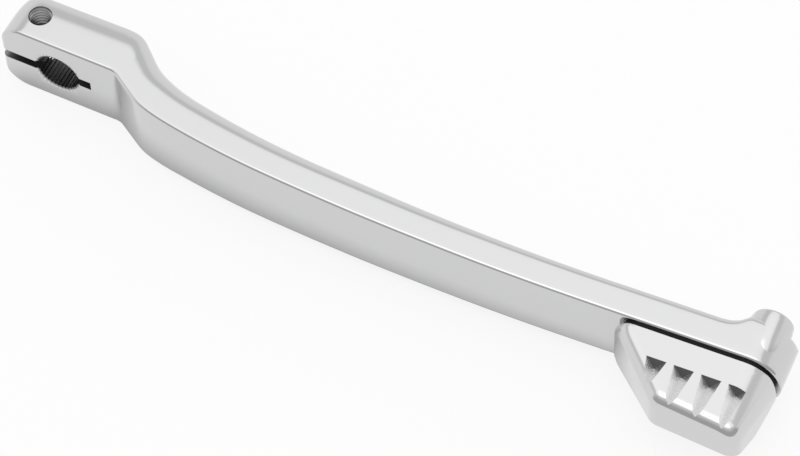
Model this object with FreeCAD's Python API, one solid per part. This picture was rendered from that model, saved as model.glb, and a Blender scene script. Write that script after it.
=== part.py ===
import FreeCAD, Part
import math
import os

# Gear shift lever of a motorcycle: a forged arm with a serrated split clamp at one end and a
# notched toe pad screwed to the other.
# Origin at the centre of the serrated bore, X towards the pad, the pad on the -Y side, Z up.

# Serrated clamp
serration_count = 36
shaft_radius = 7.94
root_clearance = 0.06
serration_depth = 0.55
tip_land_share = 0.54
root_land_share = 0.16
bore_chamfer = 0.45
clamp_width = 18.6
clamp_height = 29.0
clamp_reach = 21.0
clamp_end_round = 7.0
slot_height = 3.8
slot_reach = 12.5

# Pinch screw hole, threaded in the upper jaw and clear in the lower one
pinch_thread_radius = 3.97
pinch_offset = 10.0
pinch_chamfer = 0.3
pinch_clearance = 0.25
pinch_head_radius = 6.9
pinch_seat_depth = 4.0

# Bent arm
bend_start = 17.0
bend_length = 35.0
bend_ease = 0.42
arm_low_x = 146.0
arm_offset = 24.85
arm_radius = 1000.0
arm_width = 13.1
arm_root_width = 14.9
seat_start = 205.0
level_lead = 3.0
arm_root_drop = 11.6
tip_radius = 12.0
tip_reach = 46.0
near_round = 1.1
far_round = 6.0

# Screw boss on the inner side of the tip, its screw and lock washer
boss_radius = 8.3
boss_length = 6.3
boss_chamfer = 1.0
screw_radius = 3.175
screw_clearance = 0.2
thread_clearance = 0.05
screw_head_radius = 4.76
screw_head_height = 6.35
screw_head_chamfer = 0.5
socket_width = 4.76
socket_depth = 3.2
head_clearance = 0.6
head_recess = 0.8
washer_thickness = 1.6
washer_split = 1.4
screw_grip = 11.0

# Toe pad with its notches, gasket and locating pin
gasket_thickness = 1.6
pad_inset = 0.5
pad_start = 2.5
pad_corner = 6.5
pad_left_reach = 25.6
pad_right_reach = 51.9
pad_left_depth = 24.3
pad_right_depth = 27.9
pad_edge_height = 12.0
pad_side_inset = 1.6
pad_outer_round = 4.5
pad_top_round = 3.0
pad_low_round = 1.5
notch_count = 4
notch_start = 20.6
notch_pitch = 9.0
notch_width = 6.4
notch_depth = 2.7
notch_back = 10.9
notch_tip_gap = 0.6
pin_radius = 2.5
pin_length = 14.0
pin_chamfer = 0.4
pin_reach = 17.0
pin_clearance = 0.05
hole_end_gap = 1.0

# Worked out from the values above
half_width = clamp_width / 2
top_z = clamp_height / 2
bore_root = shaft_radius + root_clearance
bore_tip = bore_root - serration_depth
turn = math.asin((seat_start - arm_low_x) / arm_radius)
tip_z = top_z - tip_radius
tip_low_z = tip_z - tip_radius
boss_end = arm_width + boss_length
washer_seat = boss_end - head_recess - screw_head_height - washer_thickness
washer_radius = screw_head_radius - screw_clearance
pad_top_z = top_z - pad_inset
pad_low_z = tip_low_z + pad_inset
pad_end = tip_reach + tip_radius - pad_inset
wide = clamp_reach + seat_start + tip_reach + tip_radius
rim_angle = 20.0


def vec(x, y, z=0.0):
    return FreeCAD.Vector(x, y, z)


def line(a, b):
    return Part.LineSegment(a, b).toShape()


def arc(a, b, c):
    return Part.Arc(a, b, c).toShape()


def bezier(poles):
    curve = Part.BezierCurve()
    curve.setPoles(poles)
    return curve.toShape()


def prism(edges, direction):
    return Part.Face(Part.Wire(edges)).extrude(direction)


def polygon(points):
    return [line(a, b) for a, b in zip(points, points[1:] + points[:1])]


def near_y(x):
    # Outer edge of the arm in plan: an arc of large radius, furthest out at arm_low_x
    return -arm_offset + arm_radius - math.sqrt(arm_radius ** 2 - (x - arm_low_x) ** 2)


def near_slope(x):
    return (x - arm_low_x) / math.sqrt(arm_radius ** 2 - (x - arm_low_x) ** 2)


def seat_place():
    # Frame of the pad seat: its X runs along the seat and its Y points to the far side
    spin = FreeCAD.Rotation(vec(0, 0, 1), math.degrees(turn))
    return FreeCAD.Placement(vec(seat_start, near_y(seat_start)), spin)


def seat(u, v, z=0.0):
    return seat_place().multVec(vec(u, v, z))


def at_seat(shape):
    # Moves a shape that was drawn in the seat's frame to its place
    moved = shape.copy()
    moved.Placement = seat_place().multiply(moved.Placement)
    return moved


def seat_cylinder(radius, u, z, v_from, v_to):
    # Cylinder square to the seat, in the seat's frame
    return Part.makeCylinder(radius, v_to - v_from, vec(u, v_from, z), vec(0, 1, 0))


def plan_solid():
    # The lever seen from above: clamp, bend, long curved arm and straight seat
    end_x = bend_start + bend_length
    near_a = vec(bend_start, -half_width)
    near_b = vec(end_x, near_y(end_x))
    near_mid = vec(arm_low_x, near_y(arm_low_x))
    far_a = vec(bend_start, half_width)
    far_b = vec(end_x, near_y(end_x) + arm_root_width)
    far_mid = vec(arm_low_x, near_y(arm_low_x) + arm_width)
    far_c = seat(0, arm_width)
    far_arm = arc(far_c, far_mid, far_b)
    heading = far_arm.Curve.tangent(far_arm.Curve.parameter(far_b))[0]
    run = bend_ease * bend_length
    near_poles = [near_a, near_a + vec(run, 0), near_b - vec(run, run * near_slope(end_x)), near_b]
    far_poles = [far_b, far_b - vec(run, run * heading.y / heading.x), far_a + vec(run, 0), far_a]
    edges = [
        line(vec(-clamp_reach, -half_width), near_a),
        bezier(near_poles),
        arc(near_b, near_mid, seat(0, 0)),
        line(seat(0, 0), seat(wide, 0)),
        line(seat(wide, 0), seat(wide, arm_width)),
        line(seat(wide, arm_width), far_c),
        far_arm,
        bezier(far_poles),
        line(far_a, vec(-clamp_reach, half_width)),
        line(vec(-clamp_reach, half_width), vec(-clamp_reach, -half_width)),
    ]
    solid = prism(edges, vec(0, 0, clamp_height))
    solid.translate(vec(0, 0, -top_z))
    return solid


def side_solid():
    # The lever seen from the near side: flat top, round clamp end, underside that rises to the tip
    end_x = bend_start + bend_length
    level_x = seat_start - level_lead
    round_x = -clamp_reach + clamp_end_round
    round_z = top_z - clamp_end_round
    reach = clamp_end_round * math.sqrt(0.5)
    rise = (tip_low_z + arm_root_drop) / (level_x - end_x)
    run = bend_ease * bend_length

    def at(x, z):
        return vec(x, -wide / 2, z)

    edges = [
        line(at(-clamp_reach, -round_z), at(-clamp_reach, round_z)),
        arc(at(-clamp_reach, round_z), at(round_x - reach, round_z + reach), at(round_x, top_z)),
        line(at(round_x, top_z), at(wide, top_z)),
        line(at(wide, top_z), at(wide, tip_low_z)),
        line(at(wide, tip_low_z), at(level_x, tip_low_z)),
        line(at(level_x, tip_low_z), at(end_x, -arm_root_drop)),
        bezier([at(end_x, -arm_root_drop), at(end_x - run, -arm_root_drop - run * rise),
                at(bend_start + run, -top_z), at(bend_start, -top_z)]),
        line(at(bend_start, -top_z), at(round_x, -top_z)),
        arc(at(round_x, -top_z), at(round_x - reach, -round_z - reach), at(-clamp_reach, -round_z)),
    ]
    return prism(edges, vec(0, wide, 0))


def tip_limit():
    # All that lies before the tip's axis, and a round tip about that axis
    block = Part.makeBox(2 * wide, wide, wide, vec(tip_reach - 2 * wide, -wide / 2, -wide / 2))
    round_end = seat_cylinder(tip_radius, tip_reach, tip_z, -wide / 2, wide / 2)
    return at_seat(block.fuse(round_end))


def rim_edges(solid, least_angle):
    # Edges where two faces meet at more than the given angle, in degrees
    found = []
    for edge in solid.Edges:
        place = edge.valueAt((edge.FirstParameter + edge.LastParameter) / 2)
        normals = [face.normalAt(*face.Surface.parameter(place))
                   for face in solid.ancestorsOfType(edge, Part.Face)]
        if len(normals) == 2 and math.degrees(normals[0].getAngle(normals[1])) > least_angle:
            found.append((edge, place))
    return found


def forged_body():
    # Crisp near rim on top, full soft round on the far side, rounded rims below
    body = plan_solid().common(side_solid()).common(tip_limit()).Solids[0]
    near = [edge for edge, place in rim_edges(body, rim_angle) if place.y < middle_y(place.x)]
    body = body.makeFillet(near_round, near)
    far = [edge for edge, place in rim_edges(body, rim_angle) if place.y > middle_y(place.x)]
    return body.makeFillet(far_round, far)


def middle_y(x):
    # Line between the near and the far side, in plan
    share = min(max((x - bend_start) / bend_length, 0), 1)
    smooth = share * share * (3 - 2 * share)
    return smooth * (near_y(max(x, bend_start)) + arm_width / 2)


def serrated_bore():
    # Toothed prism that the shaft's serrations fit, with a chamfer at both mouths
    pitch = 2 * math.pi / serration_count

    def at(radius, turns):
        return vec(radius * math.cos(turns * pitch), -half_width, radius * math.sin(turns * pitch))

    edges = []
    for tooth in range(serration_count):
        tip_end = tooth + tip_land_share / 2
        root_start = tooth + 0.5 - root_land_share / 2
        root_end = tooth + 0.5 + root_land_share / 2
        next_tip = tooth + 1 - tip_land_share / 2
        edges.append(arc(at(bore_tip, tooth - tip_land_share / 2), at(bore_tip, tooth), at(bore_tip, tip_end)))
        edges.append(line(at(bore_tip, tip_end), at(bore_root, root_start)))
        edges.append(line(at(bore_root, root_start), at(bore_root, root_end)))
        edges.append(line(at(bore_root, root_end), at(bore_tip, next_tip)))
    bore = prism(edges, vec(0, clamp_width, 0))
    for side in (-1, 1):
        base = vec(0, side * half_width, 0)
        mouth = Part.makeCone(bore_root + bore_chamfer, bore_root, bore_chamfer, base, vec(0, -side, 0))
        bore = bore.fuse(mouth)
    return bore


def clamp_cuts():
    # Slot, threaded hole in the upper jaw, clearance hole and screw seat in the lower jaw
    slot = Part.makeBox(clamp_reach + slot_reach, clamp_width, slot_height,
                        vec(-clamp_reach, -half_width, -slot_height / 2))
    up = vec(0, 0, 1)
    thread = Part.makeCylinder(pinch_thread_radius, top_z, vec(-pinch_offset, 0, 0), up)
    mouth = Part.makeCone(pinch_thread_radius, pinch_thread_radius + pinch_chamfer, pinch_chamfer,
                          vec(-pinch_offset, 0, top_z - pinch_chamfer), up)
    clear = Part.makeCylinder(pinch_thread_radius + pinch_clearance, top_z,
                              vec(-pinch_offset, 0, -top_z), up)
    head = Part.makeCylinder(pinch_head_radius, pinch_seat_depth, vec(-pinch_offset, 0, -top_z), up)
    return [slot, thread, mouth, clear, head]


def boss():
    # Turned boss with a chamfered end
    root = seat_cylinder(boss_radius, tip_reach, tip_z, arm_width / 2, boss_end - boss_chamfer)
    end = Part.makeCone(boss_radius, boss_radius - boss_chamfer, boss_chamfer,
                        vec(tip_reach, boss_end - boss_chamfer, tip_z), vec(0, 1, 0))
    return at_seat(root.fuse(end))


def lever_arm():
    body = forged_body().fuse(boss())
    head_bore = screw_head_radius + head_clearance
    pin_depth = pin_length / 2 + hole_end_gap
    holes = [
        seat_cylinder(screw_radius + screw_clearance, tip_reach, tip_z, 0, boss_end),
        seat_cylinder(head_bore, tip_reach, tip_z, washer_seat, boss_end),
        seat_cylinder(pin_radius + pin_clearance, pin_reach, tip_z, 0, pin_depth),
    ]
    cuts = [at_seat(hole) for hole in holes] + clamp_cuts()
    return body.cut(cuts).cut(serrated_bore()).removeSplitter()


def root_outline():
    # Outline of the pad's root on the seat: rounded start, round end that follows the tip
    low = pad_low_z + pad_corner
    high = pad_top_z - pad_corner
    inner = pad_start + pad_corner
    reach = pad_corner * math.sqrt(0.5)

    def at(u, z):
        return vec(u, 0, z)

    return [
        line(at(pad_start, low), at(pad_start, high)),
        arc(at(pad_start, high), at(inner - reach, high + reach), at(inner, pad_top_z)),
        line(at(inner, pad_top_z), at(tip_reach, pad_top_z)),
        arc(at(tip_reach, pad_top_z), at(pad_end, tip_z), at(tip_reach, pad_low_z)),
        line(at(tip_reach, pad_low_z), at(inner, pad_low_z)),
        arc(at(inner, pad_low_z), at(inner - reach, low - reach), at(pad_start, low)),
    ]


def root_prism(v_from, v_to):
    solid = prism(root_outline(), vec(0, v_to - v_from, 0))
    solid.translate(vec(0, v_from, 0))
    return solid


def pad_plan():
    # Tapered toe pad seen from above, with rounded outer corners
    corners = [vec(pad_start, -gasket_thickness), vec(pad_left_reach, -pad_left_depth),
               vec(pad_right_reach, -pad_right_depth),
               vec(pad_end - pad_side_inset, -gasket_thickness)]
    solid = prism(polygon(corners), vec(0, 0, clamp_height))
    solid.translate(vec(0, 0, -top_z))
    outer = []
    for edge in solid.Edges:
        place = edge.CenterOfMass
        upright = abs(edge.BoundBox.ZLength - edge.Length) < edge.Length / 1000
        if upright and place.y < -(gasket_thickness + pad_left_depth) / 2:
            outer.append(edge)
    return solid.makeFillet(pad_outer_round, outer)


def pad_wedge():
    # Underside that rises from the seat to the outer edge
    def at(v, z):
        return vec(-wide / 2, v, z)

    depth = max(pad_left_depth, pad_right_depth)
    points = [at(-gasket_thickness, pad_low_z), at(-gasket_thickness, pad_top_z),
              at(-depth, pad_top_z), at(-depth, pad_top_z - pad_edge_height)]
    return prism(polygon(points), vec(wide, 0, 0))


def outer_edge(u):
    # Distance of the pad's outline from the seat, on its slanted start or its outer edge
    start = gasket_thickness + (u - pad_start) * (pad_left_depth - gasket_thickness) / (
        pad_left_reach - pad_start)
    outer = pad_left_depth + (u - pad_left_reach) * (pad_right_depth - pad_left_depth) / (
        pad_right_reach - pad_left_reach)
    return min(start, outer)


def notch(u):
    # V groove that is wide and deep at its upright back and runs out to a point at the outer edge
    over = notch_depth
    spread = notch_width / 2 * (1 + over / notch_depth)
    tip = vec(u, -(outer_edge(u) - notch_tip_gap), pad_top_z)
    back = [vec(u - spread, -notch_back, pad_top_z + over), vec(u + spread, -notch_back, pad_top_z + over),
            vec(u, -notch_back, pad_top_z - notch_depth)]
    faces = [Part.Face(Part.makePolygon([*side, side[0]])) for side in (
        back, [back[0], back[1], tip], [back[1], back[2], tip], [back[2], back[0], tip])]
    solid = Part.makeSolid(Part.makeShell(faces))
    return solid if solid.Volume > 0 else solid.reversed()


def toe_pad():
    # Rounded along its upper rim, and along the low rim of its free sides
    pad = pad_plan().common(root_prism(-wide / 2, -gasket_thickness)).common(pad_wedge()).Solids[0]
    middle = pad_top_z - pad_edge_height / 2
    upper = [edge for edge, place in rim_edges(pad, rim_angle)
             if place.z > middle and place.y < -gasket_thickness - pad_inset]
    pad = pad.makeFillet(pad_top_round, upper)
    lower = [edge for edge, place in rim_edges(pad, rim_angle)
             if place.z < middle and place.y < -pad_left_depth]
    pad = pad.makeFillet(pad_low_round, lower)
    screw_depth = gasket_thickness + screw_grip + hole_end_gap
    pin_depth = pin_length / 2 + hole_end_gap
    cuts = [notch(notch_start + n * notch_pitch) for n in range(notch_count)]
    cuts.append(seat_cylinder(screw_radius + thread_clearance, tip_reach, tip_z,
                              -screw_depth, -gasket_thickness))
    cuts.append(seat_cylinder(pin_radius + pin_clearance, pin_reach, tip_z, -pin_depth, -gasket_thickness))
    return at_seat(pad.cut(cuts))


def pad_gasket():
    sheet = root_prism(-gasket_thickness, 0)
    holes = [seat_cylinder(screw_radius + screw_clearance, tip_reach, tip_z, -gasket_thickness, 0),
             seat_cylinder(pin_radius + screw_clearance, pin_reach, tip_z, -gasket_thickness, 0)]
    return at_seat(sheet.cut(holes))


def pad_screw():
    # Socket head screw from the boss through the tip into the pad
    under_head = washer_seat + washer_thickness
    head_end = under_head + screw_head_height
    shank = seat_cylinder(screw_radius, tip_reach, tip_z, -gasket_thickness - screw_grip, under_head)
    head = seat_cylinder(screw_head_radius, tip_reach, tip_z, under_head, head_end - screw_head_chamfer)
    crown = Part.makeCone(screw_head_radius, screw_head_radius - screw_head_chamfer, screw_head_chamfer,
                          vec(tip_reach, head_end - screw_head_chamfer, tip_z), vec(0, 1, 0))
    across = socket_width / math.sqrt(3)
    points = [vec(tip_reach + across * math.cos(k * math.pi / 3), head_end - socket_depth,
                  tip_z + across * math.sin(k * math.pi / 3)) for k in range(6)]
    socket = prism(polygon(points), vec(0, socket_depth, 0))
    return at_seat(shank.fuse([head, crown]).cut(socket).removeSplitter())


def lock_washer():
    # Split ring under the screw head
    ring = seat_cylinder(washer_radius, tip_reach, tip_z, washer_seat, washer_seat + washer_thickness)
    hole = seat_cylinder(screw_radius + screw_clearance, tip_reach, tip_z,
                         washer_seat, washer_seat + washer_thickness)
    split = Part.makeBox(washer_split, washer_thickness, washer_radius,
                         vec(tip_reach - washer_split / 2, washer_seat, tip_z))
    return at_seat(ring.cut([hole, split]))


def locating_pin():
    # Dowel that keeps the pad from turning on its screw
    pin = seat_cylinder(pin_radius, pin_reach, tip_z, -pin_length / 2, pin_length / 2)
    rims = [edge for edge, place in rim_edges(pin, rim_angle)]
    return at_seat(pin.makeChamfer(pin_chamfer, rims))


os.makedirs("parts", exist_ok=True)
nodes = {
    "lever_arm": lever_arm(),
    "toe_pad": toe_pad(),
    "pad_gasket": pad_gasket(),
    "pad_screw": pad_screw(),
    "lock_washer": lock_washer(),
    "locating_pin": locating_pin(),
}
for name, shape in nodes.items():
    shape.exportStep(f"parts/{name}.step")
    print(name, len(shape.Solids), "solid,", round(shape.Volume), "mm3, valid:", shape.isValid())
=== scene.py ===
import math
import bmesh
import bpy
import numpy as np
from mathutils import Matrix, Vector


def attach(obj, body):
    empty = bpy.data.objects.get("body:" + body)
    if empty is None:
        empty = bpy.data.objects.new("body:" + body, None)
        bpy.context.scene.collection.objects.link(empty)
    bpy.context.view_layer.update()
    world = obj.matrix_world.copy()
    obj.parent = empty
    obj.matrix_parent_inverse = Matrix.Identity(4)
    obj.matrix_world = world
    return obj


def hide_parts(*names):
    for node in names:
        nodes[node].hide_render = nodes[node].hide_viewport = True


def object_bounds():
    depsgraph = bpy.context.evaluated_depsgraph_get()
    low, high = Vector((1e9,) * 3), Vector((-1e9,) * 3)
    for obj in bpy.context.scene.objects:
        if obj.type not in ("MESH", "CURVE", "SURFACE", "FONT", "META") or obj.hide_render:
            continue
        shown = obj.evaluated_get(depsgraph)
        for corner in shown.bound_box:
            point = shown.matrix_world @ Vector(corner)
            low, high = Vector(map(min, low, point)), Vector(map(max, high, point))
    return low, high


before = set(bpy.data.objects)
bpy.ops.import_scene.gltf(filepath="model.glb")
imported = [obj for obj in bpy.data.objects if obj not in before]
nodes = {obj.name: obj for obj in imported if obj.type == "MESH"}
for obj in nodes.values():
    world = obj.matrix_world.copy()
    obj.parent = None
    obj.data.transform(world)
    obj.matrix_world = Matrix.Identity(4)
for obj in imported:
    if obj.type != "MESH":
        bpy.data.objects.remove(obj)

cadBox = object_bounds()
print("frame loaded:", ", ".join(sorted(nodes)))


# sizes in millimetres, in the lever's own frame

seat = {
    "turn": 3.38,                          # degrees between the lever and the pad's seat
    "start": 205.0,
    "side": -23.11,
    "screw": (46.0, 2.5),                  # screw's place along the seat and its height
}
seatTurn = math.radians(seat["turn"])

holes = {
    "teeth": 36,
    "toothShares": (-0.27, 0.27, 0.42, 0.58),  # both ends of a tooth's tip, then of its root
    "rootRadius": 8.0,
    "tipRadius": 7.45,
    "chamfer": 0.45,
    "halfWidth": 9.3,
    "slotHalf": 1.9,
    "slotEnd": 12.5,
    "pinchX": -10.0,
    "pinchRadius": 3.97,
    "pinchClear": 4.22,
    "headRadius": 6.9,
    "headDepth": 4.0,
    "bossBore": 5.36,
    "bossSeat": 10.65,
    "past": 30.0,                          # how far cutters run past the arm
    "pastSide": 20.0,
    "steps": 64,
    "finishGap": 0.03,                     # how far outside its wall a hole's raw metal and painted shade start
}


def seatPoint(u, v, z):
    # from the pad seat's own axes to the lever's
    c, s = math.cos(seatTurn), math.sin(seatTurn)
    return np.stack([seat["start"] + u * c - v * s, seat["side"] + u * s + v * c, z + 0 * u], axis=-1)


# materials

def newMaterial(name):
    material = bpy.data.materials.new(name)
    material.use_nodes = True
    tree = material.node_tree
    shader = tree.nodes["Principled BSDF"]
    place = tree.nodes.new("ShaderNodeTexCoord")
    return material, tree, shader, place.outputs["Object"]


def addNode(tree, kind, settings=None, **values):
    # a value's name is its socket's, or in0, in1 and so on for a socket known by its number
    node = tree.nodes.new(kind)
    for name, value in (settings or {}).items():
        setattr(node, name, value)
    for name, value in values.items():
        socket = node.inputs[name] if not name.startswith("in") else node.inputs[int(name[2:])]
        if isinstance(value, bpy.types.NodeSocket):
            tree.links.new(value, socket)
        else:
            socket.default_value = value
    return node


def math2(tree, operation, a, b=0.0):
    return addNode(tree, "ShaderNodeMath", {"operation": operation}, in0=a, in1=b).outputs[0]


def smoothBand(tree, value, low, high):
    # 0 below low, 1 above high, an eased ramp between
    band = addNode(tree, "ShaderNodeMapRange", {"interpolation_type": "SMOOTHSTEP"})
    tree.links.new(value, band.inputs["Value"])
    band.inputs["From Min"].default_value = low
    band.inputs["From Max"].default_value = high
    return band.outputs["Result"]


def newGroup(name, inputs, outputs):
    group = bpy.data.node_groups.new(name, "ShaderNodeTree")
    for label, kind, value in inputs:
        socket = group.interface.new_socket(label, in_out="INPUT", socket_type=kind)
        if value is not None:
            socket.default_value = value
    for label, kind in outputs:
        group.interface.new_socket(label, in_out="OUTPUT", socket_type=kind)
    start = group.nodes.new("NodeGroupInput")
    end = group.nodes.new("NodeGroupOutput")
    return group, start, end


def makePlatingGroup():
    # plated forging: slow waviness left by the polishing wheel, fine grain, a few dull smudges
    group, start, end = newGroup(
        "platingDetail",
        [("Place", "NodeSocketVector", None), ("Roughness", "NodeSocketFloat", 0.15),
         ("Smudge", "NodeSocketFloat", 0.1), ("Wave Size", "NodeSocketFloat", 60.0),
         ("Grain Size", "NodeSocketFloat", 2500.0), ("Grain", "NodeSocketFloat", 0.1)],
        [("Roughness", "NodeSocketFloat"), ("Height", "NodeSocketFloat")])
    wave = addNode(group, "ShaderNodeTexNoise", Vector=start.outputs["Place"], Scale=start.outputs["Wave Size"],
                   Detail=1.0)
    grain = addNode(group, "ShaderNodeTexNoise", Vector=start.outputs["Place"], Scale=start.outputs["Grain Size"],
                    Detail=2.0)
    smear = addNode(group, "ShaderNodeTexNoise", Vector=start.outputs["Place"], Scale=110.0, Detail=4.0,
                    Roughness=0.6)
    smudge = math2(group, "MULTIPLY", smoothBand(group, smear.outputs["Fac"], 0.5, 0.75), start.outputs["Smudge"])
    group.links.new(math2(group, "ADD", start.outputs["Roughness"], smudge), end.inputs["Roughness"])
    fine = math2(group, "MULTIPLY", grain.outputs["Fac"], start.outputs["Grain"])
    group.links.new(math2(group, "ADD", wave.outputs["Fac"], fine), end.inputs["Height"])
    return group


def makeRoundMaskGroup():
    # 1 within a radius of a line through a point; the line's direction is a unit vector
    group, start, end = newGroup(
        "roundMask",
        [("Place", "NodeSocketVector", None), ("Centre", "NodeSocketVector", None),
         ("Axis", "NodeSocketVector", None), ("Radius", "NodeSocketFloat", 0.01)],
        [("Mask", "NodeSocketFloat")])
    offset = addNode(group, "ShaderNodeVectorMath", {"operation": "SUBTRACT"}, in0=start.outputs["Place"],
                     in1=start.outputs["Centre"]).outputs[0]
    square = addNode(group, "ShaderNodeVectorMath", {"operation": "CROSS_PRODUCT"}, in0=offset,
                     in1=start.outputs["Axis"]).outputs[0]
    reach = addNode(group, "ShaderNodeVectorMath", {"operation": "LENGTH"}, in0=square).outputs["Value"]
    group.links.new(math2(group, "LESS_THAN", reach, start.outputs["Radius"]), end.inputs["Mask"])
    return group


platingDetail = makePlatingGroup()
roundMask = makeRoundMaskGroup()


def useGroup(tree, group, **values):
    node = tree.nodes.new("ShaderNodeGroup")
    node.node_tree = group
    for name, value in values.items():
        socket = node.inputs[name.replace("_", " ")]
        if isinstance(value, bpy.types.NodeSocket):
            tree.links.new(value, socket)
        else:
            socket.default_value = value
    return node


chrome = {
    "plate": (0.62, 0.62, 0.625, 1),       # polished plate
    "padPlate": (0.64, 0.64, 0.645, 1),    # the same plate, a little brighter on the pad: painted highlight
    "cut": (0.24, 0.24, 0.24, 1),          # raw metal inside holes and slot, its darker colour a painted shade in these recesses
    "roughness": 0.09,
    "smudge": 0.06,
    "waveSize": 45.0,
    "grainSize": 1800.0,
    "grain": 0.02,
    "bump": 0.02,
    "bumpDepth": 0.0004,
    "cutRoughness": 0.22,                  # added inside holes and slot
}


def makeChrome(name, plate, rounds=(), slot=None):
    # plate all over, and inside the round holes and the slot rougher raw metal whose darker colour paints in
    # their shade
    material, tree, shader, place = newMaterial(name)
    detail = useGroup(tree, platingDetail, Place=place, Roughness=chrome["roughness"], Smudge=chrome["smudge"],
                      Wave_Size=chrome["waveSize"], Grain_Size=chrome["grainSize"], Grain=chrome["grain"])
    mask = None
    for centre, axis, radius in rounds:
        part = useGroup(tree, roundMask, Place=place, Centre=centre, Axis=axis, Radius=radius).outputs["Mask"]
        mask = part if mask is None else math2(tree, "MAXIMUM", mask, part)
    if slot:
        split = addNode(tree, "ShaderNodeSeparateXYZ", Vector=place)
        inHeight = math2(tree, "LESS_THAN", math2(tree, "ABSOLUTE", split.outputs["Z"]), slot["halfHeight"])
        inReach = math2(tree, "LESS_THAN", split.outputs["X"], slot["end"])
        mask = math2(tree, "MAXIMUM", mask, math2(tree, "MULTIPLY", inHeight, inReach))
    shader.inputs["Metallic"].default_value = 1.0
    if mask is None:
        shader.inputs["Base Color"].default_value = plate
        tree.links.new(detail.outputs["Roughness"], shader.inputs["Roughness"])
    else:
        # darker colour inside holes and slot: painted shade
        tint = addNode(tree, "ShaderNodeMix", {"data_type": "RGBA"}, in0=mask, in6=plate, in7=chrome["cut"])
        tree.links.new(tint.outputs[2], shader.inputs["Base Color"])
        extra = math2(tree, "MULTIPLY", mask, chrome["cutRoughness"])
        tree.links.new(math2(tree, "ADD", detail.outputs["Roughness"], extra), shader.inputs["Roughness"])
    bump = addNode(tree, "ShaderNodeBump", Height=detail.outputs["Height"], Strength=chrome["bump"],
                   Distance=chrome["bumpDepth"])
    tree.links.new(bump.outputs["Normal"], shader.inputs["Normal"])
    return material


rubber = {
    "dark": (0.003, 0.003, 0.003, 1),
    "light": (0.01, 0.01, 0.01, 1),
    "roughness": 0.6,
    "shine": 0.15,
    "grainSize": 900.0,
    "bump": 0.3,
    "bumpDepth": 0.0001,
}


def makeRubber(name):
    material, tree, shader, place = newMaterial(name)
    grain = addNode(tree, "ShaderNodeTexNoise", Vector=place, Scale=rubber["grainSize"], Detail=3.0)
    tint = addNode(tree, "ShaderNodeValToRGB", Fac=grain.outputs["Fac"])
    for stop, key in zip(tint.color_ramp.elements, ("dark", "light")):
        stop.color = rubber[key]
    tree.links.new(tint.outputs["Color"], shader.inputs["Base Color"])
    shader.inputs["Roughness"].default_value = rubber["roughness"]
    shader.inputs["Specular IOR Level"].default_value = rubber["shine"]
    bump = addNode(tree, "ShaderNodeBump", Height=grain.outputs["Fac"], Strength=rubber["bump"],
                   Distance=rubber["bumpDepth"])
    tree.links.new(bump.outputs["Normal"], shader.inputs["Normal"])
    return material


grainy = {
    "smudge": 0.15,
    "waveSize": 200.0,
    "bumpDepth": 0.0001,
    # colour, roughness, grain size, grain, bump
    "steel": ((0.42, 0.42, 0.43, 1), 0.28, 3000.0, 0.3, 0.1),
    "notch": ((0.82, 0.82, 0.82, 1), 0.2, 2600.0, 3.0, 0.3),
    # the notches' back walls: a dark copy of the notch finish that paints in the shade falling on them
    "notchBack": ((0.16, 0.16, 0.16, 1), 0.2, 2000.0, 2.0, 0.3),
}


def makeGrainy(name, finish):
    material, tree, shader, place = newMaterial(name)
    colour, roughness, grainSize, grain, bumpStrength = grainy[finish]
    detail = useGroup(tree, platingDetail, Place=place, Roughness=roughness, Smudge=grainy["smudge"],
                      Wave_Size=grainy["waveSize"], Grain_Size=grainSize, Grain=grain)
    shader.inputs["Metallic"].default_value = 1.0
    shader.inputs["Base Color"].default_value = colour
    tree.links.new(detail.outputs["Roughness"], shader.inputs["Roughness"])
    bump = addNode(tree, "ShaderNodeBump", Height=detail.outputs["Height"], Strength=bumpStrength,
                   Distance=grainy["bumpDepth"])
    tree.links.new(bump.outputs["Normal"], shader.inputs["Normal"])
    return material


def holeRound(centre, axis, radius):
    return tuple(value / 1000 for value in centre), axis, (radius + holes["finishGap"]) / 1000


screwPoint = seatPoint(np.array(seat["screw"][0]), 0.0, seat["screw"][1])
armChrome = makeChrome(
    "armChrome", chrome["plate"],
    [holeRound((0, 0, 0), (0, 1, 0), holes["rootRadius"]),
     holeRound((holes["pinchX"], 0, 0), (0, 0, 1), holes["pinchRadius"]),
     holeRound(screwPoint, (-math.sin(seatTurn), math.cos(seatTurn), 0), holes["bossBore"])],
    {"halfHeight": (holes["slotHalf"] + holes["finishGap"]) / 1000,
     "end": (holes["slotEnd"] + holes["finishGap"]) / 1000})
# the pad's chrome has a brighter colour that paints in its highlights
padChrome = makeChrome("padChrome", chrome["padPlate"])
notchChrome = makeGrainy("notchChrome", "notch")
# painted shade on the notches' back walls
notchBack = makeGrainy("notchBack", "notchBack")
gasketRubber = makeRubber("gasketRubber")
fastenerSteel = makeGrainy("fastenerSteel", "steel")
threadSteel = makeGrainy("threadSteel", "steel")

finishes = {
    "lever_arm": armChrome,
    "toe_pad": padChrome,
    "pad_gasket": gasketRubber,
    "pad_screw": fastenerSteel,
    "lock_washer": fastenerSteel,
    "locating_pin": fastenerSteel,
}
for name, finish in finishes.items():
    mesh = nodes[name].data
    mesh.materials.clear()
    mesh.materials.append(finish)
print("materials assigned:", len(finishes))


# lever arm: a profile along a path, with the holes cut out of it

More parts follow.
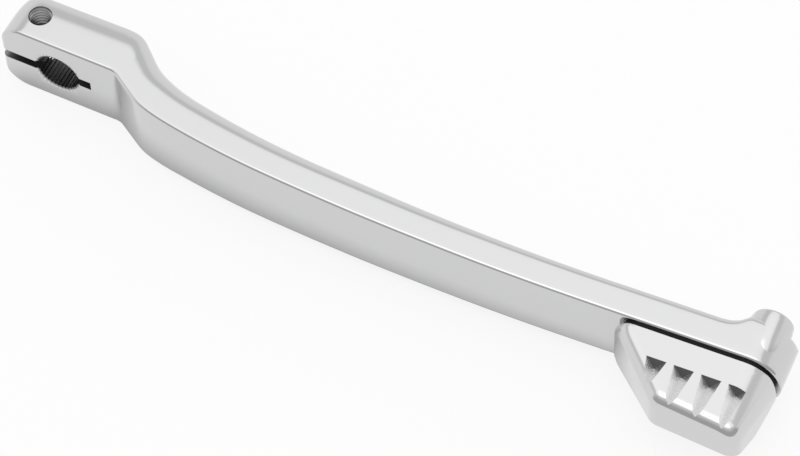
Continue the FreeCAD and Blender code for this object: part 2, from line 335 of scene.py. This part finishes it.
arm = {
    "clampEnd": -21.0,
    "clampRound": 9.0,
    "endRoundNear": 2.0,
    "endRoundFar": 6.0,
    "topHeight": 14.5,
    "nearStart": -9.3,
    # slope of each edge in plan at places along X; an edge is the running sum of its slope
    "nearSlope": [(20.6, 0.0), (23.8, -0.617), (32.2, -0.617), (36.8, -0.33), (41.5, -0.235), (47, -0.17),
                  (57, -0.128), (68.5, -0.1), (83.5, -0.052), (98, -0.036), (113, -0.023), (127, -0.004),
                  (141, 0.004), (155, 0.014), (170, 0.032), (190, 0.05), (205, 0.059)],
    "farStart": 8.7,
    "farSlope": [(19.2, 0.014), (20.6, 0.0), (26.2, -0.84), (31, -0.8), (38, -0.42), (44.4, -0.3), (52.8, -0.19),
                 (60.8, -0.165), (68.8, -0.14), (84, -0.085), (99, -0.045), (128, -0.035), (156, 0.003),
                 (184, 0.032), (205, 0.059)],
    # radii of the far upper edge, across and down, and of the near lower edge
    "farAcross": [(18, 8.0), (30, 7.5), (45, 7.0), (70, 6.2), (99, 5.6), (128, 4.9), (156, 4.2), (198, 3.5),
                  (240, 3.2), (256, 3.0)],
    "farDown": [(18, 3.0), (34, 6.5), (45, 7.0), (70, 6.2), (99, 5.6), (128, 4.9), (156, 4.2), (198, 3.5),
                (240, 3.2), (256, 3.0)],
    "farLow": 4.5,
    "nearTop": 1.1,
    "nearLow": [(20, 1.1), (52, 3.0), (202, 3.0), (216, 1.1)],
    "underside": [(18, -14.5), (52, -14.05), (203, -11.5), (217, -9.5)],
    # distance along the seat and width there: it grows into the boss
    "seatWidth": [(33.5, 12.0), (35.5, 12.15), (37.5, 12.6), (39.2, 13.4), (40.6, 14.5), (41.8, 15.7), (43, 16.2),
                  (46, 16.0), (49, 15.6)],
    "tipReach": 45.9,
    "tipRadius": 12.0,
    "cornerRoom": 0.95,                    # share of half the height that a corner may take
    "cornerSteps": 12,
    "flatSteps": 6,
    "edgeSteps": 4000,
    # where the bend, the plain arm and the growth into the boss start, and where the arm meets the seat
    "bendStart": 18.0,
    "bendEnd": 60.0,
    "plainEnd": 203.0,
    "growthStart": 28.0,
    "stations": {"end": 24, "clamp": 20, "bend": 130, "plain": 110, "seat": 12, "growth": 44, "tip": 40},
    "tipTurn": 0.995,                      # share of a quarter turn where the tip is closed
}


def along(table, x):
    return np.interp(x, [row[0] for row in table], [row[1] for row in table])


def runningEdge(start, table, x):
    # the sum of slope times step from the clamp's end to each place
    fine = np.linspace(arm["clampEnd"], seat["start"], arm["edgeSteps"])
    slope = along(table, fine)
    rise = np.concatenate([[0], np.cumsum((slope[1:] + slope[:-1]) / 2 * np.diff(fine))])
    return start + np.interp(x, fine, rise)


def endRound(x, radius):
    # how far a quarter circle at the clamp's end draws the side in
    inner = np.clip(arm["clampEnd"] + radius - x, 0, radius)
    return radius - np.sqrt(radius ** 2 - inner ** 2)


def corner(centre, radii, fromTurn, steps):
    # quarter of an ellipse, turning clockwise from the given angle
    turns = np.radians(fromTurn - np.linspace(0, 90, steps))
    across = centre[0][:, None] + radii[0][:, None] * np.cos(turns)
    height = centre[1][:, None] + radii[1][:, None] * np.sin(turns)
    return across, height


def armProfile(width, top, low, x):
    # closed outline across the arm for every place: near side, top, far side and underside
    room = (top - low) / 2 * arm["cornerRoom"]
    steps = arm["cornerSteps"]
    slopeNear = np.hypot(1, along(arm["nearSlope"], x))
    slopeFar = np.hypot(1, along(arm["farSlope"], x))
    nearTop = (arm["nearTop"] * slopeNear, np.minimum(arm["nearTop"], room))
    farTop = (along(arm["farAcross"], x) * slopeFar, np.minimum(along(arm["farDown"], x), room))
    farLow = (arm["farLow"] * slopeFar, np.minimum(arm["farLow"], room))
    nearLow = (along(arm["nearLow"], x) * slopeNear, np.minimum(along(arm["nearLow"], x), room))
    corners = [
        corner((nearTop[0], top - nearTop[1]), nearTop, 180, steps),
        corner((width - farTop[0], top - farTop[1]), farTop, 90, steps),
        corner((width - farLow[0], low + farLow[1]), farLow, 0, steps),
        corner((nearLow[0], low + nearLow[1]), nearLow, -90, steps),
    ]
    shares = np.linspace(0, 1, arm["flatSteps"] + 1)[1:-1]
    across, height = [], []
    for index, (v, z) in enumerate(corners):
        nextV, nextZ = corners[(index + 1) % 4]
        across += [v, v[:, -1:] + (nextV[:, :1] - v[:, -1:]) * shares]
        height += [z, z[:, -1:] + (nextZ[:, :1] - z[:, -1:]) * shares]
    return np.concatenate(across, axis=1), np.concatenate(height, axis=1)


def armGrid():
    # stations along X up to the seat, then along the seat's own axis to the round tip
    count = arm["stations"]
    bendStart, bendEnd = arm["bendStart"], arm["bendEnd"]
    turns = np.linspace(0, np.pi / 2, count["end"])
    endX = arm["clampEnd"] + arm["clampRound"] * (1 - np.cos(turns))
    middleX = np.concatenate([np.linspace(arm["clampEnd"] + arm["clampRound"], bendStart, count["clamp"])[1:-1],
                              np.linspace(bendStart, bendEnd, count["bend"]),
                              np.linspace(bendEnd, arm["plainEnd"], count["plain"])[1:]])
    x = np.concatenate([endX, middleX])
    curve = np.concatenate([arm["topHeight"] - arm["clampRound"] * (1 - np.sin(turns)),
                            np.full(len(middleX), arm["topHeight"])])
    near = runningEdge(arm["nearStart"], arm["nearSlope"], x)
    far = runningEdge(arm["farStart"], arm["farSlope"], x)
    settle = seat["side"] - runningEdge(arm["nearStart"], arm["nearSlope"], seat["start"])
    near = near + settle * np.clip((x - bendEnd) / (seat["start"] - bendEnd), 0, 1)
    near = near + endRound(x, arm["endRoundNear"])
    far = far - endRound(x, arm["endRoundFar"])
    low = np.maximum(along(arm["underside"], x), -curve)
    v, z = armProfile(far - near, curve, low, x)
    armPoints = np.stack([np.broadcast_to(x[:, None], v.shape), near[:, None] + v, z], axis=-1)
    ends = np.linspace(0, np.pi / 2 * arm["tipTurn"], count["tip"])
    straight = np.concatenate([np.linspace(0, arm["growthStart"], count["seat"]),
                               np.linspace(arm["growthStart"], arm["tipReach"], count["growth"])[1:-1]])
    u = np.concatenate([straight, arm["tipReach"] + arm["tipRadius"] * np.sin(ends)])
    centre = arm["topHeight"] - arm["tipRadius"]
    lift = arm["tipRadius"] * np.concatenate([np.ones(len(straight)), np.cos(ends)])
    low = np.where(u < arm["tipReach"], along(arm["underside"], seat["start"] + u), centre - lift)
    v, z = armProfile(along(arm["seatWidth"], u), centre + lift, low, seat["start"] + u)
    tipPoints = seatPoint(np.broadcast_to(u[:, None], v.shape), v, z)
    return np.concatenate([armPoints, tipPoints])


def meshFrom(name, points, faces):
    mesh = bpy.data.meshes.new(name)
    mesh.from_pydata((points / 1000).tolist(), [], faces)
    build = bmesh.new()
    build.from_mesh(mesh)
    bmesh.ops.recalc_face_normals(build, faces=build.faces)
    build.to_mesh(mesh)
    build.free()
    piece = bpy.data.objects.new(name, mesh)
    bpy.context.scene.collection.objects.link(piece)
    return piece


def gridFaces(rows, columns, closeRows=False):
    # quads between neighbouring rows, every row a closed loop
    row = np.arange(rows if closeRows else rows - 1)[:, None]
    column = np.arange(columns)[None, :]
    after, beside = (row + 1) % rows, (column + 1) % columns
    quads = np.stack([row * columns + column, row * columns + beside, after * columns + beside,
                      after * columns + column], axis=-1)
    return quads.reshape(-1, 4).tolist()


def loopPiece(name, rows, capped=True):
    count, columns = rows.shape[:2]
    faces = gridFaces(count, columns, closeRows=not capped)
    if capped:
        faces += [list(range(columns)), list(range((count - 1) * columns, count * columns))]
    return meshFrom(name, rows.reshape(-1, 3), faces)


def seatCylinder(radius, start, end):
    # two circles about the screw's line, square to the seat
    turns = np.linspace(0, 2 * np.pi, holes["steps"], endpoint=False)
    out = np.array([[start], [end]])
    u = seat["screw"][0] + radius * np.cos(turns) + 0 * out
    return seatPoint(u, out + 0 * u, seat["screw"][1] + radius * np.sin(turns) + 0 * u)


def pinchCylinder(radius, low, high):
    # two circles about the pinch hole's upright line
    turns = np.linspace(0, 2 * np.pi, holes["steps"], endpoint=False)
    z = np.array([[low], [high]]) + 0 * turns
    x = holes["pinchX"] + radius * np.cos(turns) + 0 * z
    return np.stack([x, radius * np.sin(turns) + 0 * z, z], axis=-1)


def boreRows():
    # toothed outline: flat tips, sloped flanks and narrow roots, with a round mouth at both ends
    shares = np.array(holes["toothShares"])
    turns = ((np.arange(holes["teeth"])[:, None] + shares) * 2 * np.pi / holes["teeth"]).ravel()
    radius = np.tile(np.repeat([holes["tipRadius"], holes["rootRadius"]], 2), holes["teeth"])
    wide = np.full(len(turns), holes["rootRadius"] + holes["chamfer"])
    mouth, inner, past = holes["halfWidth"], holes["halfWidth"] - holes["chamfer"], holes["pastSide"]
    y = np.array([-past, -mouth, -inner, inner, mouth, past])[:, None]
    size = np.stack([wide, wide, radius, radius, wide, wide])
    return np.stack([size * np.cos(turns), y + 0 * size, size * np.sin(turns)], axis=-1)


def boxRows(low, high):
    (x0, y0, z0), (x1, y1, z1) = low, high
    ring = [(x0, y0), (x1, y0), (x1, y1), (x0, y1)]
    return np.array([[(x, y, z) for x, y in ring] for z in (z0, z1)], dtype=float)


def cutPieces(piece, cutters):
    # take the cutters out of the piece and keep the result as its mesh
    for cutter in cutters:
        cut = piece.modifiers.new(cutter.name, "BOOLEAN")
        cut.operation = "DIFFERENCE"
        cut.solver = "EXACT"
        cut.object = cutter
    graph = bpy.context.evaluated_depsgraph_get()
    mesh = bpy.data.meshes.new_from_object(piece.evaluated_get(graph))
    piece.modifiers.clear()
    piece.data = mesh
    for cutter in cutters:
        bpy.data.objects.remove(cutter)


def finishPiece(piece, material, sharpAngle=35):
    mesh = piece.data
    if not mesh.materials:
        mesh.materials.append(material)
    mesh.shade_smooth()
    mesh.set_sharp_from_angle(angle=math.radians(sharpAngle))
    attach(piece, "root")


def makeArm():
    shell = loopPiece("leverShell", armGrid())
    past, side, slotHalf = holes["past"], holes["pastSide"], holes["slotHalf"]
    cutters = {
        "boreCutter": boreRows(),
        "slotCutter": boxRows((-past, -side, -slotHalf), (holes["slotEnd"], side, slotHalf)),
        "threadCutter": pinchCylinder(holes["pinchRadius"], 0, past),
        "clearCutter": pinchCylinder(holes["pinchClear"], -past, 0),
        "headCutter": pinchCylinder(holes["headRadius"], -past, holes["headDepth"] - arm["topHeight"]),
        "bossCutter": seatCylinder(holes["bossBore"], holes["bossSeat"], past),
    }
    cutPieces(shell, [loopPiece(name, rows) for name, rows in cutters.items()])
    finishPiece(shell, armChrome)
    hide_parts("lever_arm")
    return shell


boss = {
    "end": 19.9,
    # distance from the seat and loss of radius where it runs out over the tip
    "runOut": [(2.0, 1.2), (4.0, 0.55), (6.5, 0.2), (9.5, 0.0)],
    "rim": 0.9,
    "radius": 7.0,
    "high": (48.0, 7.46),                  # centre of its upper half, level with the arm's top
    "low": seat["screw"],                  # centre of its lower half
    "ring": 2.6,                           # turned band at its end
    "ringStep": 0.25,
    "ringLead": 0.1,
    "belowTop": 0.03,                      # keeps its flat just under the arm's top face
    "steps": 192,
    "rimSteps": 12,
}


def makeBoss():
    # obround ring with a turned end that runs out over the tip: each half turns about its own centre
    turns = (np.arange(boss["steps"]) + 0.5) * 2 * np.pi / boss["steps"]
    spread = np.subtract(boss["high"], boss["low"])
    upper = np.cos(turns) * spread[0] + np.sin(turns) * spread[1] > 0
    centreU = np.where(upper, boss["high"][0], boss["low"][0])
    centreZ = np.where(upper, boss["high"][1], boss["low"][1])
    bend = np.radians(np.linspace(0, 90, boss["rimSteps"]))
    ringStart = boss["end"] - boss["ring"]
    ringRadius = boss["radius"] - boss["ringStep"]
    runOut = np.array(boss["runOut"])
    radius = np.concatenate([boss["radius"] - runOut[:, 1], [boss["radius"], ringRadius],
                             ringRadius - boss["rim"] * (1 - np.cos(bend))])[:, None]
    out = np.concatenate([runOut[:, 0], [ringStart, ringStart + boss["ringLead"]],
                          boss["end"] - boss["rim"] * (1 - np.sin(bend))])[:, None]
    u = centreU + radius * np.cos(turns)
    z = np.minimum(centreZ + radius * np.sin(turns), arm["topHeight"] - boss["belowTop"])
    boreU = (boss["low"][0] + holes["bossBore"] * np.cos(turns))[None, :]
    boreZ = (boss["low"][1] + holes["bossBore"] * np.sin(turns))[None, :]
    u = np.concatenate([boreU, u, boreU])
    z = np.concatenate([boreZ, z, boreZ])
    out = np.concatenate([out[:1], out, out[-1:]]) + 0 * u
    piece = loopPiece("tipBoss", seatPoint(u, out, z), capped=False)
    finishPiece(piece, armChrome, 30)
    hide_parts("lever_arm")
    return piece


gasket = {
    "start": 5.6,
    "cornerRadius": 6.0,
    "top": 13.7,
    "low": -8.7,
    "endReach": 9.6,
    "thickness": 1.6,
    "endSteps": 48,
    "cornerSteps": 12,
}


def makeGasket():
    # sheet with a rounded start and a half ellipse at its end
    start, top, low, r = (gasket[key] for key in ("start", "top", "low", "cornerRadius"))
    turns = np.linspace(np.pi / 2, -np.pi / 2, gasket["endSteps"])
    end = np.stack([seat["screw"][0] + gasket["endReach"] * np.cos(turns),
                    (top + low) / 2 + (top - low) / 2 * np.sin(turns)], axis=-1)
    quarter = np.linspace(0, np.pi / 2, gasket["cornerSteps"])
    lowCorner = np.stack([start + r - r * np.sin(quarter), low + r - r * np.cos(quarter)], axis=-1)
    topCorner = np.stack([start + r - r * np.cos(quarter), top - r + r * np.sin(quarter)], axis=-1)
    outline = np.concatenate([end, lowCorner, topCorner])
    rows = np.stack([seatPoint(outline[:, 0], np.full(len(outline), v), outline[:, 1])
                     for v in (-gasket["thickness"], 0.0)])
    piece = loopPiece("sealSheet", rows)
    finishPiece(piece, gasketRubber, 35)
    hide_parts("pad_gasket")
    return piece


pad = {
    # plan, from the left root round the outer side to the right root
    "corners": [(2.5, -gasket["thickness"]), (24.4, -24.6), (53.4, -27.7), (57.2, -gasket["thickness"])],
    "rounds": (1.0, 6.0, 5.0, 1.0),
    "leastRound": 0.8,
    "inset": (0.9, 1.0, 0.6, 0.0),         # share of the rounding that each side takes
    "top": 14.0,
    "rootLow": -9.0,
    "edgeHeight": 14.2,
    "topRound": 4.2,
    "lowRound": 1.5,
    "leftRound": 6.5,
    "endRadius": 11.5,                     # about the screw
    "notchStart": 20.6,
    "notchPitch": 9.0,
    "notchCount": 4,
    "notchBack": -10.6,
    "notchLean": 1.9,                      # how far forward of its back edge a notch is deepest
    "notchWidth": 6.6,
    "notchDepth": 2.8,
    "notchTipDepth": 1.1,
    "notchPast": 0.2,                      # how far a cutter runs past the outer side
    "notchOver": 3.0,                      # and above the top
    "cornerSteps": 12,
    "sideSteps": 24,
    "rimSteps": 12,
    "fillSteps": 16,
    "middleSize": 0.03,                    # size of the last loop of a fill
}


def padOutline(inset):
    # plan with its sides moved inwards; a corner is a curve between points on its two sides
    corners = np.array(pad["corners"])
    run = np.roll(corners, -1, axis=0) - corners
    run = run / np.linalg.norm(run, axis=1)[:, None]
    inward = np.stack([-run[:, 1], run[:, 0]], axis=-1)
    start = corners + inward * inset * np.array(pad["inset"])[:, None]
    before, beforeRun = np.roll(start, 1, axis=0), np.roll(run, 1, axis=0)
    cross = beforeRun[:, 0] * run[:, 1] - beforeRun[:, 1] * run[:, 0]
    gap = start - before
    reach = (gap[:, 0] * run[:, 1] - gap[:, 1] * run[:, 0]) / cross
    corners = before + beforeRun * reach[:, None]
    turn = np.arccos(np.sum(beforeRun * run, axis=1))
    radius = np.maximum(np.array(pad["rounds"]) - inset, pad["leastRound"])
    tangent = (radius * np.tan(turn / 2))[:, None]
    first, last = corners - beforeRun * tangent, corners + run * tangent
    t = np.linspace(0, 1, pad["cornerSteps"])[:, None]
    shares = np.linspace(0, 1, pad["sideSteps"])[1:-1, None]
    points = []
    for index in range(len(corners)):
        points.append((1 - t) ** 2 * first[index] + 2 * t * (1 - t) * corners[index] + t ** 2 * last[index])
        points.append(last[index] + (first[(index + 1) % len(corners)] - last[index]) * shares)
    return np.concatenate(points)


def padTop(u):
    # level, with a round start and the tip's round end
    r = pad["leftRound"]
    left = pad["top"] - r + np.sqrt(r ** 2 - np.clip(pad["corners"][0][0] + r - u, 0, r) ** 2)
    over = np.clip(u - seat["screw"][0], 0, pad["endRadius"])
    return np.minimum(left, seat["screw"][1] + np.sqrt(pad["endRadius"] ** 2 - over ** 2))


def padLow(u, v):
    # rises from the root to the outer edge, inside the same round ends
    (_, root), (_, outer) = pad["corners"][0], pad["corners"][2]
    share = (v - root) / (outer - root)
    slope = pad["rootLow"] + (pad["top"] - pad["edgeHeight"] - pad["rootLow"]) * share
    return np.maximum(slope, pad["top"] + pad["rootLow"] - padTop(u))


def padNotch(u):
    # V-groove with a leaning back, deepest near the back and rising to the rounded edge
    # each of its two rows is a triangle: left and right above the top, and the groove's bottom
    outer = along(pad["corners"][:3], u) - pad["notchPast"]
    v = np.array([[pad["notchBack"] - pad["notchLean"]], [outer]])
    depth = np.array([[pad["notchDepth"]], [pad["notchTipDepth"]]])
    rise = (depth + pad["notchOver"]) / pad["notchDepth"]
    rows = seatPoint(u + rise * pad["notchWidth"] / 2 * np.array([-1, 1, 0]),
                     v + rise * pad["notchLean"] * np.array([1, 1, 0]),
                     pad["top"] - depth + rise * pad["notchDepth"] * np.array([1, 1, 0]))
    cutter = loopPiece("notchCutter", rows)
    giveFinishes(cutter)
    sides = [1] * (len(cutter.data.polygons) - 2)
    cutter.data.polygons.foreach_set("material_index", sides + [2, 1])  # the cap at its back comes last but one and takes the painted-shade back-wall colour
    return cutter


def giveFinishes(piece):
    # the slots are the same on the pad and its cutters, so that a cut keeps its own finish
    for finish in (padChrome, notchChrome, notchBack):
        piece.data.materials.append(finish)


def makePad():
    # loops round the plan: underside, lower rim, upper rim, then in to the middle of the top
    middle = np.array(pad["corners"]).mean(axis=0)
    shrink = np.linspace(pad["middleSize"], 1, pad["fillSteps"])[:-1]
    bend = np.radians(np.linspace(0, 90, pad["rimSteps"]))
    rows = []
    for k in shrink:
        plan = middle + (padOutline(pad["lowRound"]) - middle) * k
        rows.append((plan, padLow(*plan.T)))
    for t in bend:
        plan = padOutline(pad["lowRound"] * (1 - math.sin(t)))
        rows.append((plan, padLow(*plan.T) + pad["lowRound"] * (1 - math.cos(t))))
    for t in bend:
        plan = padOutline(pad["topRound"] * (1 - math.cos(t)))
        rows.append((plan, padTop(plan[:, 0]) - pad["topRound"] * (1 - math.sin(t))))
    for k in shrink[::-1]:
        plan = middle + (padOutline(pad["topRound"]) - middle) * k
        rows.append((plan, padTop(plan[:, 0])))
    piece = loopPiece("toePadShell", np.stack([seatPoint(*plan.T, z) for plan, z in rows]))
    giveFinishes(piece)
    cutPieces(piece, [padNotch(pad["notchStart"] + n * pad["notchPitch"]) for n in range(pad["notchCount"])])
    finishPiece(piece, padChrome, 28)
    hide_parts("toe_pad")
    return piece


thread = {
    "pitch": 1.411,
    "root": 3.95,
    "crest": 3.25,
    "outer": 4.4,
    "low": 6.2,
    "high": 14.25,
    "flat": 0.125,                         # share of its depth cut off at crest and root
    "steps": 72,
    "rowsPerPitch": 16,
}


def makeThread():
    # radius is a triangle wave of the height less the pitch times the turn
    turns = np.linspace(0, 2 * np.pi, thread["steps"], endpoint=False)[None, :]
    count = int((thread["high"] - thread["low"]) / thread["pitch"] * thread["rowsPerPitch"])
    z = np.linspace(thread["low"], thread["high"], count)[:, None]
    phase = z / thread["pitch"] - turns / (2 * np.pi)
    wave = np.abs((phase % 1) * 2 - 1)
    depth = np.clip(wave * (1 + 2 * thread["flat"]) - thread["flat"], 0, 1)
    fade = np.clip((thread["high"] - z) / thread["pitch"], 0, 1)
    radius = thread["root"] - (thread["root"] - thread["crest"]) * depth * fade
    outer = thread["outer"] + 0 * turns
    radius = np.concatenate([outer, radius, outer])
    z = np.concatenate([z[:1], z, z[-1:]]) + 0 * turns
    rows = np.stack([holes["pinchX"] + radius * np.cos(turns), radius * np.sin(turns), z], axis=-1)
    piece = loopPiece("pinchThread", rows, capped=False)
    finishPiece(piece, threadSteel, 50)
    return piece


makeArm()
makeBoss()
makeGasket()
makePad()
makeThread()
print("lever arm, boss, gasket, pad and thread made")


# studio

studio = {
    "floorSize": 8.0,
    "floorColour": (0.9, 0.9, 0.9, 1),
    "floorWhite": 0.85,                    # share of plain white that the camera sees
    "floorRoughness": 0.9,
    "floorGloss": 0.815,                   # share of plain white that the metal reflects
    "shadeReach": 0.009,                   # how far from the object that white is shaded
    "away": (-0.492, 0.870, 0.0),          # level direction from the camera to the object
    "nearEdge": (-0.30, 0.12),             # where the dark room behind the camera ends
    "peak": 2.0,                           # brightest part of the tent
    # height of a direction (its sine) and brightness there as a share of the peak
    "farSky": [(0.0, 0.50), (0.40, 0.48), (0.56, 0.39), (0.72, 0.39), (0.79, 0.61), (0.90, 0.66), (0.97, 1.0)],
    "nearSky": [(0.0, 0.26), (0.35, 0.24), (0.60, 0.27), (0.86, 0.42), (0.95, 1.0)],
}


def makeFloor():
    half = studio["floorSize"] / 2
    low = cadBox[0][2]
    mesh = bpy.data.meshes.new("floor")
    mesh.from_pydata([(-half, -half, low), (half, -half, low), (half, half, low), (-half, half, low)], [],
                     [(0, 1, 2, 3)])
    floor = bpy.data.objects.new("floor", mesh)
    bpy.context.scene.collection.objects.link(floor)
    material, tree, shader, place = newMaterial("floorWhite")
    shader.inputs["Base Color"].default_value = studio["floorColour"]
    shader.inputs["Roughness"].default_value = studio["floorRoughness"]
    shader.inputs["Specular IOR Level"].default_value = 0.0
    path = addNode(tree, "ShaderNodeLightPath")
    shade = addNode(tree, "ShaderNodeAmbientOcclusion", {"samples": 8}, Distance=studio["shadeReach"])
    seenShade = addNode(tree, "ShaderNodeMix", {"data_type": "FLOAT"}, in0=path.outputs["Is Glossy Ray"], in2=1.0,
                        in3=shade.outputs["AO"])
    glow = addNode(tree, "ShaderNodeEmission", Color=(1, 1, 1, 1), Strength=seenShade.outputs[0])
    seen = math2(tree, "MAXIMUM", path.outputs["Is Camera Ray"], path.outputs["Is Transmission Ray"])
    seenShare = math2(tree, "MULTIPLY", seen, studio["floorWhite"])
    glossShare = math2(tree, "MULTIPLY", path.outputs["Is Glossy Ray"], studio["floorGloss"])
    share = math2(tree, "MAXIMUM", seenShare, glossShare)
    both = addNode(tree, "ShaderNodeMixShader", in0=share, in1=shader.outputs[0], in2=glow.outputs[0])
    tree.links.new(both.outputs[0], tree.nodes["Material Output"].inputs["Surface"])
    mesh.materials.append(material)
    return floor


def makeWorld():
    world = bpy.data.worlds.new("lightTent")
    bpy.context.scene.world = world
    world.use_nodes = True
    tree = world.node_tree
    towards = addNode(tree, "ShaderNodeTexCoord").outputs["Generated"]
    height = addNode(tree, "ShaderNodeSeparateXYZ", Vector=towards).outputs["Z"]
    away = addNode(tree, "ShaderNodeVectorMath", {"operation": "DOT_PRODUCT"}, in0=towards, in1=studio["away"])
    isFar = smoothBand(tree, away.outputs["Value"], *studio["nearEdge"])
    skies = []
    for key in ("nearSky", "farSky"):
        ramp = addNode(tree, "ShaderNodeValToRGB", Fac=height)
        stops = ramp.color_ramp.elements
        for sine, level in studio[key][1:-1]:
            stops.new(sine)
        for stop, (sine, level) in zip(stops, studio[key]):
            stop.position = sine
            stop.color = (level, level, level, 1)
        skies.append(ramp.outputs["Color"])
    sky = addNode(tree, "ShaderNodeMix", {"data_type": "FLOAT"}, in0=isFar, in2=skies[0], in3=skies[1])
    level = math2(tree, "MULTIPLY", sky.outputs[0], studio["peak"])
    path = addNode(tree, "ShaderNodeLightPath")
    strength = addNode(tree, "ShaderNodeMix", {"data_type": "FLOAT"}, in0=path.outputs["Is Camera Ray"],
                       in2=level, in3=1.0)
    back = tree.nodes["Background"]
    back.inputs["Color"].default_value = (1, 1, 1, 1)
    tree.links.new(strength.outputs[0], back.inputs["Strength"])


makeFloor()
makeWorld()

view = {
    "azimuth": 29.48,
    "elevation": 56.14,
    "roll": -3.22,
    "place": (0.48808, -0.65085, 1.08828),
    "lens": 185.33,
    "sensor": 36.0,
}


def makeCamera():
    # the camera's back vector comes from azimuth and elevation; right and up are turned by the roll
    a, e, r = (math.radians(view[key]) for key in ("azimuth", "elevation", "roll"))
    back = Vector((math.sin(a) * math.cos(e), -math.cos(a) * math.cos(e), math.sin(e)))
    right = Vector((math.cos(a), math.sin(a), 0))
    up = back.cross(right)
    rolledRight = math.cos(r) * right + math.sin(r) * up
    rolledUp = -math.sin(r) * right + math.cos(r) * up
    data = bpy.data.cameras.new("camera")
    data.lens = view["lens"]
    data.sensor_width = view["sensor"]
    data.clip_end = 50
    camera = bpy.data.objects.new("camera", data)
    turn = Matrix((rolledRight, rolledUp, back)).transposed()
    camera.matrix_world = Matrix.Translation(view["place"]) @ turn.to_4x4()
    bpy.context.scene.collection.objects.link(camera)
    bpy.context.scene.camera = camera


makeCamera()
bpy.context.scene.view_settings.view_transform = "Standard"
print("studio and camera set")
